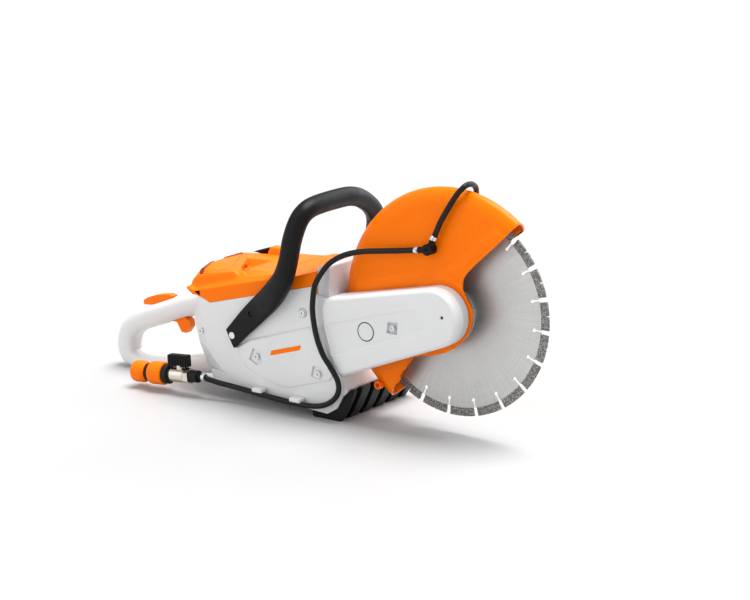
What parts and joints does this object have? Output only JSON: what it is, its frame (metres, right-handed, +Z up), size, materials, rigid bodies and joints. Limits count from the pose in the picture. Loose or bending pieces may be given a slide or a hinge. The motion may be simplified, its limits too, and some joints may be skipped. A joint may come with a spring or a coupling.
{
  "type": "rescue saw",
  "caption": "Battery rescue saw with a belt-driven diamond cutting wheel, turning guard, water feed, hooped front handle and looped rear handle.",
  "frame": {"origin": "middle of the saw's footprint on the ground", "axes": "+X forwards to the wheel, +Z up, -Y towards the side with the belt arm"},
  "size_m": [0.7583, 0.24, 0.3595],
  "materials": {
    "white_plastic": "fine textured moulding",
    "grey_metal": "satin",
    "orange_plastic": "satin gloss",
    "red_plastic": "satin",
    "black_plastic": "fine texture",
    "rubber_hose": "matte",
    "steel": "bright",
    "dark_steel": "oiled",
    "wheel_steel": "satin with fine scratches",
    "diamond": "sintered and speckled",
    "nickel": "plated",
    "guard_orange": "powder coat",
    "red_cable": "matte",
    "copper_windings": "lacquered"
  },
  "bodies": {
    "machine": {"right_casing": "white_plastic", "left_casing": "white_plastic", "base_casing": "grey_metal", "front_casing": "grey_metal", "side_cover": "white_plastic", "hood": "orange_plastic", "lid_hinge_pin": "steel", "battery_pack": "black_plastic", "contact_block": "black_plastic", "motor_controller": "grey_metal", "wiring_harness": "red_cable", "motor_can": "grey_metal", "motor_stator": "copper_windings", "motor_bearings": "steel", "drive_belt": "rubber_hose", "arm_case": "grey_metal", "arm_cover": "white_plastic", "arm_cap": "white_plastic", "tension_screw": "steel", "spindle_bearings": "steel", "guard_ring": "steel", "feed_hose": "rubber_hose", "free_hose": "rubber_hose", "hose_clips": "white_plastic", "hose_ferrule": "black_plastic", "valve_body": "nickel", "coupling_body": "orange_plastic", "front_handle": "black_plastic", "front_foot": "black_plastic", "fasteners": "steel", "rear_handle_right": "white_plastic", "rear_handle_left": "white_plastic", "trigger_spring": "steel", "trigger_switch": "black_plastic"},
    "wheel": {"spindle": "steel", "inner_flange": "steel", "outer_flange": "steel", "arbor_bolt": "dark_steel", "wheel_core": "wheel_steel", "wheel_segments": "diamond", "driven_pulley": "dark_steel"},
    "motor_rotor_group": {"motor_rotor": "steel", "motor_shaft": "steel", "cooling_fan": "black_plastic", "drive_pulley": "dark_steel"},
    "guard": {"guard_near_shell": "guard_orange", "guard_far_shell": "guard_orange", "hose_fitting": "black_plastic", "guard_hose_clamps": "steel", "water_nozzles": "black_plastic", "guard_hose": "rubber_hose"},
    "lid": {"battery_lid": "orange_plastic"},
    "flap": {"latch_flap": "orange_plastic", "flap_grips": "red_plastic"},
    "button": {"release_button": "red_plastic"},
    "trigger": {"trigger": "orange_plastic"},
    "lockout": {"lockout_lever": "orange_plastic"},
    "valve": {"valve_ball": "nickel", "valve_knob": "black_plastic"},
    "collar": {"coupling_collar": "orange_plastic"}
  },
  "joints": [
    {"name": "wheel_spin", "type": "hinge", "parent": "machine", "child": "wheel", "pos_m": [0.226, -0.023, 0.174], "axis": [0, 1, 0], "continuous": true},
    {"name": "motor_spin", "type": "hinge", "parent": "machine", "child": "motor_rotor_group", "pos_m": [0, -0.023, 0.088], "axis": [0, 1, 0], "continuous": true},
    {"name": "guard_turn", "type": "hinge", "parent": "machine", "child": "guard", "pos_m": [0.226, -0.023, 0.174], "axis": [0, 1, 0], "range_deg": [-15, 35], "deforming": ["free_hose"]},
    {"name": "lid_open", "type": "hinge", "parent": "machine", "child": "lid", "pos_m": [-0.057, 0.002, 0.1944], "axis": [0, 1, 0], "range_deg": [0, 95]},
    {"name": "flap_lift", "type": "hinge", "parent": "lid", "child": "flap", "pos_m": [-0.1625, 0, 0.19], "axis": [0, 1, 0], "range_deg": [0, 45], "stiffness_Nm_per_rad": 0.05, "springref_deg": -11.46},
    {"name": "release_press", "type": "slide", "parent": "lid", "child": "button", "axis": [0, 0, -1], "range_m": [0, 0.002], "stiffness_N_per_m": 300, "springref_m": -0.002},
    {"name": "trigger_pull", "type": "hinge", "parent": "machine", "child": "trigger", "pos_m": [-0.25, -0.023, 0.092], "axis": [0, 1, 0], "range_deg": [0, 6], "stiffness_Nm_per_rad": 0.6, "springref_deg": -8.59, "deforming": ["trigger_spring"]},
    {"name": "lockout_press", "type": "hinge", "parent": "machine", "child": "lockout", "pos_m": [-0.281, -0.023, 0.103], "axis": [0, -1, 0], "range_deg": [0, 5], "stiffness_Nm_per_rad": 0.6, "springref_deg": -8.59},
    {"name": "valve_turn", "type": "hinge", "parent": "machine", "child": "valve", "pos_m": [-0.19985, -0.103, 0.02951], "axis": [-0.0872, 0, 0.9962], "range_deg": [0, 90]},
    {"name": "collar_slide", "type": "slide", "parent": "machine", "child": "collar", "axis": [0.9962, 0, 0.0872], "range_m": [0, 0.006], "stiffness_N_per_m": 300, "springref_m": -0.003}
  ],
  "couplings": [
    {"joint": "motor_spin", "follows": "wheel_spin", "ratio": 1.6667}
  ]
}
